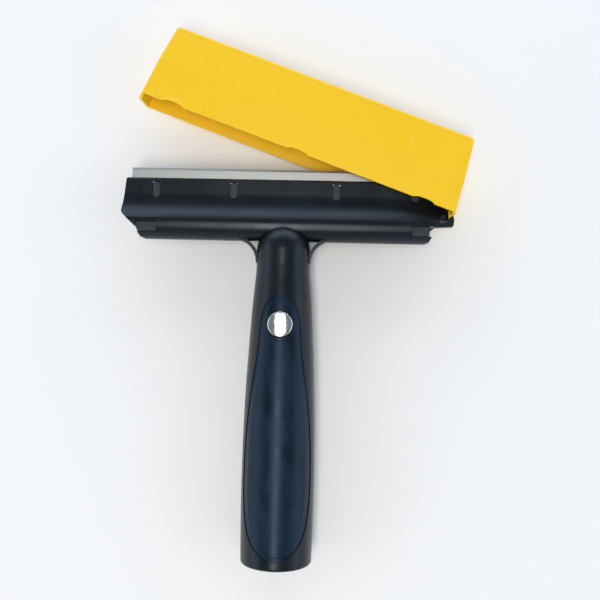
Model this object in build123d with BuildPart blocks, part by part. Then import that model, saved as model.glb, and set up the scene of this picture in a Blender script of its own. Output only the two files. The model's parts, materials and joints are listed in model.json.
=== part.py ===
from build123d import *
from math import cos, radians, sin, sqrt, tan
import os

# Window scraper with a wide steel blade and a pivoting blade guard, in millimetres.
# +Y runs from the butt of the handle to the blade, +X along the blade, +Z out of the front
# face, where the button is. The origin is the centre of the pole socket's mouth in the butt.

# ---------------------------------------------------------------- driving dimensions
BLADE_EDGE_Y = 190.9        # cutting edge, measured from the butt
BLADE_LENGTH = 152.0
BLADE_WIDTH = 18.0
BLADE_THICK = 0.6
BLADE_BEVEL = 1.1
BLADE_EXPOSED = 5.2

BAR_Y = 163.5               # centre of the rolled bar behind the blade
BAR_R = 8.0
PLATE_THICK = 2.2           # front face of the thin plate above the blade's middle plane
PLATE_FLAT_Y = 178.5        # the plate is flat from its edge to here, then curves up to the bar
CREASE_Y = 165.3            # where the concave plate meets the rolled bar
PLATE_HALF = 80.0           # half width at the widest point
PLATE_WIDEST_Y = 168.9
SIDE_TAPER = 6.0            # degrees, plate sides and guard ends

SLOT_X = (25.2, 63.6)       # locating windows, mirrored left and right
SLOT_WIDTH = 3.8
SLOT_TOP_Y = 183.9
SLOT_BOTTOM_Y = 175.9
PEG_TOP_Z = 1.6             # the clamp plate's pegs stand this high in the windows
NOTCH_X = (61.8, 70.6)      # end windows through the bar, open at its ends, mirrored
NOTCH_Y = (158.7, 163.5)
EAR_SCREW_X = 30.0          # the clamp plate's two screw ears, mirrored
EAR_SCREW_Y = 166.0

NECK_R = 13.0
NECK_TOP_Y = 151.5          # the neck ends in a dome from here
GUSSET_R = 11.5
GUSSET_RIB = 1.6
GUSSET_X = 24.8             # centre of the brace's curve
GUSSET_Y = 144.9
GUSSET_HALF_DEPTH = 3.4
HANDLE_STATIONS = ((0.0, 17.15), (20.0, 17.5), (42.0, 17.6), (65.0, 17.3), (89.0, 16.5),
                   (112.0, 15.25), (133.0, 13.75), (144.0, NECK_R))

GRIP_STATIONS = ((128.9, 0.0), (126.0, 6.2), (120.7, 8.6), (104.6, 10.4), (86.7, 12.9),
                 (67.8, 15.1), (42.3, 16.1), (23.0, 15.1), (10.2, 10.6), (4.4, 0.0))
GRIP_BASE_Z = 5.0           # the panel's lower limit on the handle's flanks
GRIP_DEPTH = 1.8
GRIP_PROUD = 0.25
GRIP_RIM = 2.1              # sunken border round the soft pad
GRIP_RIM_DROP = 0.35
GRIP_ROUND = 0.5

SOCKET_R = 12.0             # round mouth that takes the pole's cone
SOCKET_COLLAR = 24.0
SOCKET_END_R = 8.5
SOCKET_TAPER_Y = 86.0
SOCKET_END_Y = 94.0
SLEEVE_WALL = 1.8
CAVITY_MOUTH_R = 14.0
CAVITY_STRAIGHT_Y = 30.0
CAVITY_END_R = 11.2
CAVITY_END_Y = 124.0

BUTTON_Y = 115.0
BUTTON_R = 6.0
BUTTON_TRAVEL = 2.0
BUTTON_PROUD = 0.9
GUIDE_R = 7.0
GUIDE_FLOOR_Z = 10.2
GUIDE_BOTTOM_Z = 7.6
CLIP_Z = 6.7
CLIP_THICK = 0.5
STEM_R = 2.5
ROCKER_Y = 101.0
ROCKER_Z = 8.6
ROCKER_HALF_WIDTH = 2.5
ROCKER_PIN_R = 1.0
SPRING_R = 3.0
SPRING_WIRE_R = 0.3
SPRING_TURNS = 5
SPRING_SEAT_Z = -4.0
TAIL_BOTTOM_Z = 4.4
TOOTH_Y = 90.9
TOOTH_TIP_Z = 7.2
CHEEK_X = 3.8
CHEEK_THICK = 1.6

PIVOT = (77.4, 168.7)       # guard pivot, right of the blade
PIN_R = 1.2
RUNNING_GAP = 0.06
GUARD_OPEN = 20.0           # degrees from closed in the resting state
GUARD_HALF = 8.25           # half thickness at the mouth
GUARD_WALL = 1.4
GUARD_ROUND = 1.4
GUARD_CORNER = 2.4
GUARD_TOP_V = 40.9          # outer top edge above the pivot
GUARD_BEND_V = 22.2
GUARD_TOP_HALF = 5.4
GUARD_FRONT_V = 3.4         # lower edge of the front wall
GUARD_BACK_V = 0.5          # lower edge of the back wall and of the far end's
GUARD_NEAR_V = 2.8          # lower edge of the wall at the pivot's end
GUARD_END_U = 4.4           # outer face of the pivot end at the mouth
GUARD_LEFT_U = -159.5       # outer face of the far end at the mouth
POCKET_U = (-142.6, -77.4, -12.2)
POCKET_HALF = 6.5
POCKET_DEEP = 3.4
SWELL = 1.3                 # rise of the ball at its middle, beyond the wall's edge
SCOOP_DEEP = 1.0
TAB_R = 2.2
TAB_Z = (-1.9, -0.65)
EAR_BOTTOM_Z = 0.5
EAR_BOSS_Z = -0.25
LUG_Z = (-5.7, -2.3)

PIN_HEAD_R = 1.85
PIN_HEAD_Z = 2.6
EAR_R = 2.7

BAR_HALF = 71.4
CHANNEL_Z = -3.2            # channels and pockets in the back of the bar go down to here
CLAMP_LOW_Z = -6.3
CLAMP_HALF = 74.0
HOOK_TOP_Z = 6.4
EAR_POCKET = 11.0
INSERT_R = 2.2
INSERT_LONG = 6.4

COS45 = cos(radians(45))
taper = tan(radians(SIDE_TAPER))


def rest(part, label):
    """Label a finished piece and write its STEP file."""
    part.label = label
    export_step(part, f"parts/{label}.step")


def cavity_r(y):
    """Radius of the tapered cavity inside the handle."""
    along = (y - CAVITY_STRAIGHT_Y) / (CAVITY_END_Y - CAVITY_STRAIGHT_Y)
    return CAVITY_MOUTH_R + (CAVITY_END_R - CAVITY_MOUTH_R) * along


def handle_body(offset):
    """Round handle and neck, its surface moved out by the offset, domed at the top."""
    neck_r = NECK_R + offset
    with BuildPart() as body:
        with BuildSketch(Plane.XY):
            with BuildLine():
                swell = Spline([(r + offset, y) for y, r in HANDLE_STATIONS],
                               tangents=[(0.02, 1), (0, 1)])
                Line(swell @ 1, (neck_r, NECK_TOP_Y))
                ThreePointArc((neck_r, NECK_TOP_Y),
                              (neck_r * cos(radians(45)), NECK_TOP_Y + neck_r * sin(radians(45))),
                              (0, NECK_TOP_Y + neck_r))
                Polyline((0, NECK_TOP_Y + neck_r), (0, 0), swell @ 0)
            make_face()
        revolve(axis=Axis.Y)
    return body.part


def grip_panel(inset, floor, top, round_over=0):
    """Shell between two handle surfaces inside the grip's teardrop outline."""
    top_y = GRIP_STATIONS[0][0] - inset
    low_y = GRIP_STATIONS[-1][0] + inset
    right = [(x - inset, y) for y, x in GRIP_STATIONS[1:-1]]
    left = [(-x, y) for x, y in reversed(right)]
    with BuildPart() as panel:
        with BuildSketch(Plane.XY.offset(GRIP_BASE_Z)):
            with BuildLine():
                Spline([(0, top_y)] + right + [(0, low_y)] + left, periodic=True)
            make_face()
        extrude(amount=20)
        add(top, mode=Mode.INTERSECT)
        add(floor, mode=Mode.SUBTRACT)
        if round_over:
            fillet(panel.edges().group_by(Axis.Z)[-1], radius=round_over)
    return panel.part


os.makedirs("parts", exist_ok=True)

# ---------------------------------------------------------------- shared shapes
handle_outer = handle_body(0)
grip_floor = handle_body(-GRIP_DEPTH)
grip_rim_top = handle_body(-GRIP_RIM_DROP)
grip_pad_top = handle_body(GRIP_PROUD)
button_top = handle_body(BUTTON_PROUD)
front_recess = grip_panel(0, grip_floor, button_top)
grip_rim = grip_panel(0, grip_floor, grip_rim_top)
grip_pad = grip_panel(GRIP_RIM, grip_floor, grip_pad_top, round_over=GRIP_ROUND)

plate_edge_y = BLADE_EDGE_Y - BLADE_EXPOSED
plate_top_half = PLATE_HALF - (plate_edge_y + 1 - PLATE_WIDEST_Y) * taper
slot_x = [hand * x for hand in (1, -1) for x in SLOT_X]
seat_z = BLADE_THICK / 2 + 0.02
clamp_r = BAR_R + 0.3
clamp_top_y = BAR_Y + sqrt(clamp_r**2 - seat_z**2)
clamp_low_y = BAR_Y + sqrt(clamp_r**2 - CLAMP_LOW_Z**2)
bar_front_z = sqrt(BAR_R**2 - (CREASE_Y - BAR_Y) ** 2)
bar_seat_y = BAR_Y + sqrt(BAR_R**2 - seat_z**2)
pivot_x, pivot_y = PIVOT

# ---------------------------------------------------------------- tool body
# One moulding: the handle, the neck and the wide head. The head's side view is a teardrop: a
# thin plate over the blade that sweeps up into the rolled bar.
with BuildPart() as head:
    with BuildSketch(Plane.YZ):
        with BuildLine():
            edge = Polyline((plate_edge_y, seat_z), (plate_edge_y, PLATE_THICK - 0.7),
                            (plate_edge_y - 0.7, PLATE_THICK), (PLATE_FLAT_Y, PLATE_THICK))
            sweep_up = TangentArc(edge @ 1, (CREASE_Y, bar_front_z), tangent=(-1, 0))
            front = ThreePointArc(sweep_up @ 1, (BAR_Y - BAR_R, 0), (BAR_Y, -BAR_R))
            back = ThreePointArc(front @ 1, (BAR_Y + BAR_R * COS45, -BAR_R * COS45),
                                 (bar_seat_y, seat_z))
            Line(back @ 1, edge @ 0)
        make_face()
    extrude(amount=PLATE_HALF + 2, both=True)
    with BuildSketch(Plane.XY.offset(-BAR_R - 1)):
        with BuildLine():
            Polyline((-plate_top_half, plate_edge_y + 1), (-PLATE_HALF, PLATE_WIDEST_Y),
                     (-79.2, 167.4), (-72.0, 160.6), (-BAR_HALF, 158.4), (-70.3, 156.3),
                     (-67.4, 155.2), (-64.4, 150.0), (64.4, 150.0), (67.4, 155.2),
                     (70.3, 156.3), (BAR_HALF, 158.4), (71.6, 161.6), (73.2, 165.6),
                     (pivot_x - 2.1, pivot_y - 1.9), (pivot_x, pivot_y - EAR_R),
                     (pivot_x + 1.8, pivot_y - 1.9), (PLATE_HALF - 0.5, PLATE_WIDEST_Y),
                     (plate_top_half - 0.5, plate_edge_y + 1), close=True)
        make_face()
    extrude(amount=2 * BAR_R + 2, mode=Mode.INTERSECT)
    fillet(head.edges().filter_by(Axis.Z).group_by(Axis.Y)[-1], radius=1.0)
    # past the bar's ends only the thin front wall goes on
    with Locations(*[(hand * (BAR_HALF + 10), BAR_Y, EAR_BOTTOM_Z) for hand in (1, -1)]):
        Box(20, 30, 20, align=(Align.CENTER, Align.CENTER, Align.MAX), mode=Mode.SUBTRACT)
    with Locations((pivot_x, pivot_y, EAR_BOSS_Z)):
        Cylinder(TAB_R, 1.5, align=(Align.CENTER, Align.CENTER, Align.MIN))
    # lug behind the plate that carries the lower end of the pivot pin
    with BuildSketch(Plane.XY.offset(LUG_Z[0])) as lug_plan:
        with BuildLine():
            Polyline((69.5, 160.4), (74.0, 164.4), (83.0, 164.9), (83.4, 168.0), (83.0, 170.6),
                     (69.5, 171.2), close=True)
        make_face()
        fillet(lug_plan.vertices().group_by(Axis.X)[-2], radius=0.9)
    extrude(amount=LUG_Z[1] - LUG_Z[0])
    # four locating windows through the plate, round at the lower end
    slot_length = SLOT_TOP_Y - SLOT_BOTTOM_Y
    with BuildSketch(Plane.XY):
        with Locations(*[(x, SLOT_BOTTOM_Y + SLOT_WIDTH / 2) for x in slot_x]):
            Circle(SLOT_WIDTH / 2)
        with Locations(*[(x, (SLOT_TOP_Y + SLOT_BOTTOM_Y + SLOT_WIDTH / 2) / 2) for x in slot_x]):
            Rectangle(SLOT_WIDTH, slot_length - SLOT_WIDTH / 2)
    extrude(amount=PLATE_THICK + 2, mode=Mode.SUBTRACT)
    # end windows through the bar, with channels behind for the clamp plate's arms
    notch_mid = sum(NOTCH_X) / 2
    notch_wide = NOTCH_X[1] - NOTCH_X[0]
    window_wide = BAR_HALF + 1 - NOTCH_X[0]
    window_mid = NOTCH_X[0] + window_wide / 2
    with Locations(*[(hand * window_mid, NOTCH_Y[0], CHANNEL_Z) for hand in (1, -1)]):
        Box(window_wide, NOTCH_Y[1] - NOTCH_Y[0], 2 * BAR_R,
            align=(Align.CENTER, Align.MIN, Align.MIN), mode=Mode.SUBTRACT)
    with Locations(*[(hand * notch_mid, NOTCH_Y[0], CHANNEL_Z) for hand in (1, -1)]):
        Box(notch_wide, 20, 10, align=(Align.CENTER, Align.MIN, Align.MAX), mode=Mode.SUBTRACT)
    # pockets in the back of the bar for the screw ears, and the holes for their brass inserts
    with Locations(*[(hand * EAR_SCREW_X, EAR_SCREW_Y - EAR_POCKET / 2, CHANNEL_Z)
                     for hand in (1, -1)]):
        Box(EAR_POCKET, 20, 10, align=(Align.CENTER, Align.MIN, Align.MAX), mode=Mode.SUBTRACT)
    with Locations(*[(hand * EAR_SCREW_X, EAR_SCREW_Y, CHANNEL_Z) for hand in (1, -1)]):
        Cylinder(INSERT_R, INSERT_LONG, align=(Align.CENTER, Align.CENTER, Align.MIN),
                 mode=Mode.SUBTRACT)
    # pivot pin hole with a recess for its head
    with Locations((pivot_x, pivot_y, LUG_Z[0] - 1)):
        Cylinder(PIN_R, 12, align=(Align.CENTER, Align.CENTER, Align.MIN), mode=Mode.SUBTRACT)
    with Locations((pivot_x, pivot_y, PIN_HEAD_Z)):
        Cylinder(PIN_HEAD_R, 8, align=(Align.CENTER, Align.CENTER, Align.MIN), mode=Mode.SUBTRACT)

with BuildPart() as gussets:
    # two curved braces from the neck to the bar, open behind
    for hand in (1, -1):
        with BuildSketch(Plane.XY.offset(-GUSSET_HALF_DEPTH)):
            with Locations((hand * GUSSET_X, GUSSET_Y)):
                Circle(GUSSET_R + GUSSET_RIB)
                Circle(GUSSET_R, mode=Mode.SUBTRACT)
            with Locations((hand * (NECK_R - 1), GUSSET_Y)):
                Rectangle(GUSSET_R + 2, GUSSET_R + 3, mode=Mode.INTERSECT,
                          align=(Align.MIN if hand > 0 else Align.MAX, Align.MIN))
        extrude(amount=2 * GUSSET_HALF_DEPTH)

with BuildPart() as tool_body:
    add(head.part)
    add(gussets.part)
    add(handle_outer)
    fillet(tool_body.edges().filter_by(GeomType.CIRCLE).group_by(Axis.Y)[0], radius=1.2)
    # recesses for the soft grips on the front and on the back
    add(front_recess, mode=Mode.SUBTRACT)
    add(mirror(front_recess, about=Plane.XY, mode=Mode.PRIVATE), mode=Mode.SUBTRACT)
    # the handle is cored from the butt for the socket sleeve and the pole lock
    with BuildSketch(Plane.XY):
        with BuildLine():
            Polyline((0, 0), (CAVITY_MOUTH_R, 0), (CAVITY_MOUTH_R, CAVITY_STRAIGHT_Y),
                     (CAVITY_END_R, CAVITY_END_Y), (0, CAVITY_END_Y), close=True)
        make_face()
    revolve(axis=Axis.Y, mode=Mode.SUBTRACT)
    # room above the locking lever, and the hole for the button's guide
    with Locations((0, 92, 8)):
        Box(6.6, 12, 5.6, align=(Align.CENTER, Align.CENTER, Align.MIN), mode=Mode.SUBTRACT)
    with Locations((0, 99, 8)):
        Box(6.6, 10, 4.4, align=(Align.CENTER, Align.CENTER, Align.MIN), mode=Mode.SUBTRACT)
    with Locations((0, BUTTON_Y, 5)):
        Cylinder(GUIDE_R, 15, align=(Align.CENTER, Align.CENTER, Align.MIN), mode=Mode.SUBTRACT)
rest(tool_body.part, "tool_body")

# ---------------------------------------------------------------- soft grips
with BuildPart() as front_grip:
    add(grip_rim)
    add(grip_pad)
    with Locations((0, BUTTON_Y, 5)):
        Cylinder(GUIDE_R, 15, align=(Align.CENTER, Align.CENTER, Align.MIN), mode=Mode.SUBTRACT)
rest(front_grip.part, "front_grip")

with BuildPart() as rear_grip:
    add(grip_rim)
    add(grip_pad)
    mirror(about=Plane.XY, mode=Mode.REPLACE)
rest(rear_grip.part, "rear_grip")

# ---------------------------------------------------------------- blade and its clamp
peg_y = (SLOT_TOP_Y + SLOT_BOTTOM_Y) / 2
with BuildPart() as blade:
    blade_back = BLADE_EDGE_Y - BLADE_WIDTH
    half = BLADE_THICK / 2
    with BuildSketch(Plane.YZ):
        with BuildLine():
            Polyline((blade_back, -half), (BLADE_EDGE_Y - BLADE_BEVEL, -half),
                     (BLADE_EDGE_Y, -0.04), (BLADE_EDGE_Y, 0.04),
                     (BLADE_EDGE_Y - BLADE_BEVEL, half), (blade_back, half), close=True)
        make_face()
    extrude(amount=BLADE_LENGTH / 2, both=True)
    with BuildSketch(Plane.XY.offset(-1)):
        with Locations(*[(x, peg_y) for x in slot_x]):
            SlotOverall(slot_length + 0.6, SLOT_WIDTH + 0.6, rotation=90)
    extrude(amount=2, mode=Mode.SUBTRACT)
rest(blade.part, "scraper_blade")

with BuildPart() as clamp_plate:
    with BuildSketch(Plane.YZ):
        with BuildLine():
            clamp_line = Polyline((clamp_top_y, -seat_z), (plate_edge_y - 0.3, -seat_z),
                                  (plate_edge_y - 0.3, -1.4), (plate_edge_y - 1.1, -2.0),
                                  (174.5, -5.9), (clamp_low_y, CLAMP_LOW_Z))
            ThreePointArc(clamp_line @ 1, (BAR_Y + clamp_r * cos(radians(25)),
                                           -clamp_r * sin(radians(25))), clamp_line @ 0)
        make_face()
    extrude(amount=CLAMP_HALF, both=True)
    fillet(clamp_plate.edges().filter_by(Axis.Z).group_by(Axis.Y)[-1], radius=1.0)
    # cut back at the pivot end to clear the lug
    with Locations((NOTCH_X[1] - 0.25, 171.5)):
        Box(10, 10, 20, align=(Align.MIN, Align.MAX, Align.CENTER), mode=Mode.SUBTRACT)
    # pegs through the blade's slots into the plate's windows
    with BuildSketch(Plane.XY.offset(-1)):
        with Locations(*[(x, peg_y) for x in slot_x]):
            SlotOverall(slot_length - 0.2, SLOT_WIDTH - 0.3, rotation=90)
    extrude(amount=1 + PEG_TOP_Z)
    # arms behind the bar that hook up into its end windows
    with Locations(*[(hand * notch_mid, NOTCH_Y[0] + 0.2, CLAMP_LOW_Z) for hand in (1, -1)]):
        Box(notch_wide - 0.5, 11.5, CHANNEL_Z - 0.3 - CLAMP_LOW_Z,
            align=(Align.CENTER, Align.MIN, Align.MIN))
        Box(notch_wide - 0.5, NOTCH_Y[1] - NOTCH_Y[0] - 0.4, HOOK_TOP_Z - CLAMP_LOW_Z,
            align=(Align.CENTER, Align.MIN, Align.MIN))
    # the far hook goes on to the bar's sloping end
    with BuildSketch(Plane.XY.offset(CHANNEL_Z + 0.2)):
        with BuildLine():
            Polyline((-NOTCH_X[1] + 1, NOTCH_Y[0] + 0.2), (-BAR_HALF + 0.2, NOTCH_Y[0] + 0.2),
                     (-BAR_HALF - 0.8, NOTCH_Y[0] + 2.2), (-BAR_HALF - 0.8, NOTCH_Y[1] - 0.2),
                     (-NOTCH_X[1] + 1, NOTCH_Y[1] - 0.2), close=True)
        make_face()
    extrude(amount=HOOK_TOP_Z - CHANNEL_Z - 0.2)
    # two ears for the clamp screws
    with Locations(*[(hand * EAR_SCREW_X, EAR_SCREW_Y - EAR_POCKET / 2 + 0.3, CLAMP_LOW_Z)
                     for hand in (1, -1)]):
        Box(EAR_POCKET - 0.6, 9.5, CHANNEL_Z - 0.1 - CLAMP_LOW_Z,
            align=(Align.CENTER, Align.MIN, Align.MIN))
    with Locations(*[Plane((hand * EAR_SCREW_X, EAR_SCREW_Y, CLAMP_LOW_Z), z_dir=(0, 0, -1))
                     for hand in (1, -1)]):
        CounterBoreHole(radius=1.7, counter_bore_radius=3.0, counter_bore_depth=1.0, depth=5)
rest(clamp_plate.part, "rear_clamp_plate")

screw_seat_z = CLAMP_LOW_Z + 1.0
with BuildPart() as screws:
    with Locations(*[(hand * EAR_SCREW_X, EAR_SCREW_Y, screw_seat_z) for hand in (1, -1)]):
        Cylinder(1.48, 7.0, align=(Align.CENTER, Align.CENTER, Align.MIN))
        Cylinder(2.7, 1.7, align=(Align.CENTER, Align.CENTER, Align.MAX))
    fillet(screws.edges().filter_by(GeomType.CIRCLE).group_by(Axis.Z)[0], radius=0.7)
    with Locations(*[(hand * EAR_SCREW_X, EAR_SCREW_Y, screw_seat_z - 1.7) for hand in (1, -1)]):
        Box(3.2, 0.7, 1.0, align=(Align.CENTER, Align.CENTER, Align.MIN), mode=Mode.SUBTRACT)
        Box(0.7, 3.2, 1.0, align=(Align.CENTER, Align.CENTER, Align.MIN), mode=Mode.SUBTRACT)
rest(screws.part, "clamp_screws")

with BuildPart() as inserts:
    with Locations(*[(hand * EAR_SCREW_X, EAR_SCREW_Y, CHANNEL_Z) for hand in (1, -1)]):
        Cylinder(INSERT_R, INSERT_LONG - 0.2, align=(Align.CENTER, Align.CENTER, Align.MIN))
        Cylinder(1.5, INSERT_LONG - 0.2, align=(Align.CENTER, Align.CENTER, Align.MIN),
                 mode=Mode.SUBTRACT)
rest(inserts.part, "clamp_inserts")

# ---------------------------------------------------------------- blade guard and its pivot
# The guard is a deep channel, closed at both ends, drawn in its own plane: u along its length
# and v from the pivot towards its closed top edge, turned open about the pivot.
swing = radians(-GUARD_OPEN)
u_dir = Vector(cos(swing), sin(swing), 0)
v_dir = Vector(-sin(swing), cos(swing), 0)
guard_plan = Plane(origin=(pivot_x, pivot_y, 0), x_dir=u_dir, z_dir=(0, 0, 1))
guard_side = Plane(origin=(pivot_x, pivot_y, 0), x_dir=v_dir, z_dir=u_dir)


def guard_height(shape):
    """Distance of a shape's centre above the pivot, in the guard's own plane."""
    return (shape.center() - Vector(pivot_x, pivot_y, 0)).dot(v_dir)


def channel(wall, low_v):
    """Solid of the channel's outline, its faces moved in by the wall."""
    half = GUARD_HALF - wall
    top_half = GUARD_TOP_HALF - wall
    top_v = GUARD_TOP_V - wall
    ease = wall * taper
    low_slope = (low_v - GUARD_BACK_V) * taper
    top_slope = (GUARD_TOP_V + 1 - GUARD_BACK_V) * taper
    with BuildPart() as solid:
        with BuildSketch(guard_side):
            with BuildLine():
                Polyline((low_v, -half), (GUARD_BEND_V - ease, -half), (top_v, -top_half),
                         (top_v, top_half), (GUARD_BEND_V - ease, half), (low_v, half),
                         close=True)
            make_face()
        extrude(amount=170, both=True)
        with BuildSketch(guard_plan.offset(-12)):
            with BuildLine():
                Polyline((GUARD_LEFT_U + wall + low_slope, low_v),
                         (GUARD_END_U - wall - low_slope, low_v),
                         (GUARD_END_U - wall - top_slope, GUARD_TOP_V + 1),
                         (GUARD_LEFT_U + wall + top_slope, GUARD_TOP_V + 1), close=True)
            make_face()
        extrude(amount=24, mode=Mode.INTERSECT)
    return solid


guard_outer = channel(0, GUARD_BACK_V)
guard_inner = channel(GUARD_WALL, GUARD_BACK_V - 4)
pocket_rise = 1.0
# the ball whose slice stands a little proud of the wall and is a half-moon at its edge
moon_r = (POCKET_HALF**2 + POCKET_DEEP**2) / (2 * POCKET_DEEP)
ball_r = (moon_r**2 + SWELL**2) / (2 * SWELL)
with BuildPart() as swellings:
    with Locations(*[guard_plan * Location((u, GUARD_FRONT_V + POCKET_DEEP - moon_r,
                                            GUARD_HALF + SWELL - ball_r)) for u in POCKET_U]):
        Sphere(ball_r)
    with BuildSketch(guard_plan.offset(GUARD_HALF - 0.2)):
        with Locations(*[(u, GUARD_FRONT_V) for u in POCKET_U]):
            Rectangle(4 * POCKET_HALF, 12, align=(Align.CENTER, Align.MIN))
    extrude(amount=5, mode=Mode.INTERSECT)

with BuildPart() as guard:
    add(guard_outer.part)
    top_corners = guard.edges().filter_by(Axis.Z).filter_by(
        lambda edge: guard_height(edge) > GUARD_TOP_V - 1)
    fillet(top_corners, radius=GUARD_CORNER)
    fillet(guard.edges().filter_by(lambda edge: guard_height(edge) > 1), radius=GUARD_ROUND)
    add(guard_inner.part, mode=Mode.SUBTRACT)
    # the front wall's edge stands higher than the back wall's
    with BuildSketch(guard_plan.offset(GUARD_HALF - GUARD_WALL)):
        with Locations(((GUARD_LEFT_U + GUARD_END_U) / 2, GUARD_BACK_V)):
            Rectangle(180, GUARD_FRONT_V - GUARD_BACK_V, align=(Align.CENTER, Align.MIN))
    extrude(amount=5, mode=Mode.SUBTRACT)
    # at the pivot's end the wall stops short, clear of the lug
    with BuildSketch(guard_plan.offset(-GUARD_HALF - 1)):
        with Locations((GUARD_END_U, GUARD_BACK_V - 1)):
            Rectangle(2 * GUARD_WALL + 1.6, GUARD_NEAR_V - GUARD_BACK_V + 1,
                      align=(Align.CENTER, Align.MIN))
    extrude(amount=2 * GUARD_HALF + 2, mode=Mode.SUBTRACT)
    # three half-moon swellings, each a slice of a ball, along the front wall's edge
    add(swellings.part)
    with BuildSketch(guard_plan.offset(GUARD_HALF - GUARD_WALL)):
        with Locations(*[(u, GUARD_FRONT_V - 1) for u in POCKET_U]):
            Ellipse(POCKET_HALF - 1.0, POCKET_DEEP)
    extrude(amount=pocket_rise, mode=Mode.SUBTRACT)
    # the edge of the wall is scooped out under each swelling
    with BuildSketch(guard_plan.offset(GUARD_HALF - GUARD_WALL - 0.5)):
        with Locations(*[(u, GUARD_FRONT_V) for u in POCKET_U]):
            Ellipse(POCKET_HALF - 1.5, SCOOP_DEEP)
    extrude(amount=GUARD_WALL + 3, mode=Mode.SUBTRACT)
    # tab round the pivot pin, joined to the end wall
    with BuildSketch(guard_plan.offset(TAB_Z[0])):
        Circle(TAB_R)
        with BuildLine():
            Polyline((-TAB_R, 0.2), (-1.2, 2.6), (2.4, 5.4), (GUARD_END_U - 1, 5.4),
                     (GUARD_END_U - 0.6, GUARD_NEAR_V), (1.8, -1.0), (0, -1.0), close=True)
        make_face()
        Circle(PIN_R + RUNNING_GAP, mode=Mode.SUBTRACT)
    extrude(amount=TAB_Z[1] - TAB_Z[0])
    # slot in the pivot end's wall that passes over the lug
    with BuildSketch(guard_plan.offset(LUG_Z[0] - 0.45)):
        with Locations((GUARD_END_U, GUARD_BACK_V - 1)):
            Rectangle(2 * GUARD_WALL + 1.6, 8.0, align=(Align.CENTER, Align.MIN))
    extrude(amount=LUG_Z[1] - LUG_Z[0] + 0.75, mode=Mode.SUBTRACT)
rest(guard.part, "blade_guard")

with BuildPart() as pivot_pin:
    pin_low = LUG_Z[0] - 0.65
    with Locations((pivot_x, pivot_y, pin_low)):
        Cylinder(PIN_R, PIN_HEAD_Z - pin_low, align=(Align.CENTER, Align.CENTER, Align.MIN))
    with Locations((pivot_x, pivot_y, PIN_HEAD_Z)):
        Cylinder(PIN_HEAD_R - 0.05, 1.0, align=(Align.CENTER, Align.CENTER, Align.MIN))
    fillet(pivot_pin.edges().filter_by(GeomType.CIRCLE).group_by(Axis.Z)[-1], radius=0.5)
rest(pivot_pin.part, "guard_pivot_pin")

with BuildPart() as push_nut:
    with Locations((pivot_x, pivot_y, pin_low + 0.1)):
        Cylinder(2.7, 0.5, align=(Align.CENTER, Align.CENTER, Align.MIN))
        Cylinder(PIN_R, 0.5, align=(Align.CENTER, Align.CENTER, Align.MIN), mode=Mode.SUBTRACT)
    with Locations(Location((pivot_x, pivot_y, pin_low))):
        with PolarLocations(2.1, 6):
            Box(1.0, 0.35, 3, mode=Mode.SUBTRACT)
rest(push_nut.part, "pivot_push_nut")

washer_gap = 0.08
with BuildPart() as washers:
    with Locations((pivot_x, pivot_y, TAB_Z[1] + washer_gap),
                   (pivot_x, pivot_y, LUG_Z[1])):
        Cylinder(TAB_R - 0.1, EAR_BOSS_Z - TAB_Z[1] - washer_gap,
                 align=(Align.CENTER, Align.CENTER, Align.MIN))
        Cylinder(PIN_R + 0.02, 1, align=(Align.CENTER, Align.CENTER, Align.MIN),
                 mode=Mode.SUBTRACT)
rest(washers.part, "pivot_washers")

# ---------------------------------------------------------------- pole socket and its lock
# A liner slides into the cored handle from the butt. Its far end carries the locking lever,
# whose tooth drops through a window into the pole's groove.
with BuildPart() as sleeve:
    with BuildSketch(Plane.XY):
        with BuildLine():
            Polyline((SOCKET_R, 0), (CAVITY_MOUTH_R - 0.05, 0),
                     (CAVITY_MOUTH_R - 0.05, SOCKET_COLLAR - 2),
                     (SOCKET_R + SLEEVE_WALL, SOCKET_COLLAR),
                     (SOCKET_END_R + SLEEVE_WALL, SOCKET_TAPER_Y),
                     (SOCKET_END_R + SLEEVE_WALL, SOCKET_END_Y + 2), (0, SOCKET_END_Y + 2),
                     (0, SOCKET_END_Y), (SOCKET_END_R, SOCKET_END_Y),
                     (SOCKET_END_R, SOCKET_TAPER_Y), (SOCKET_R, SOCKET_COLLAR), close=True)
        make_face()
    revolve(axis=Axis.Y)
    # centring ring half way up
    with BuildSketch(Plane.XY):
        with Locations((0, 60)):
            Rectangle(2 * (cavity_r(62) - 0.05), 2, align=(Align.CENTER, Align.MIN))
            Rectangle(2 * 10.6, 2, align=(Align.CENTER, Align.MIN), mode=Mode.SUBTRACT)
        split(bisect_by=Plane.YZ)
    revolve(axis=Axis.Y)
    # cheeks and shelf past the closed end
    with Locations(*[(hand * CHEEK_X, SOCKET_END_Y + 1, SPRING_SEAT_Z - 1.5) for hand in (1, -1)]):
        Box(CHEEK_THICK, 10.5, 15.5, align=(Align.CENTER, Align.MIN, Align.MIN))
    with Locations((0, SOCKET_END_Y + 1, SPRING_SEAT_Z)):
        Box(2 * CHEEK_X + CHEEK_THICK, 26, 1.5, align=(Align.CENTER, Align.MIN, Align.MAX))
    with Locations(Plane((0, ROCKER_Y, ROCKER_Z), z_dir=(1, 0, 0))):
        Cylinder(ROCKER_PIN_R, 20, mode=Mode.SUBTRACT)
    with Locations((0, TOOTH_Y, SOCKET_END_R - 1)):
        Box(2 * ROCKER_HALF_WIDTH + 0.8, 4.6, 6, align=(Align.CENTER, Align.CENTER, Align.MIN),
            mode=Mode.SUBTRACT)
rest(sleeve.part, "pole_socket_sleeve")

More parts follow.
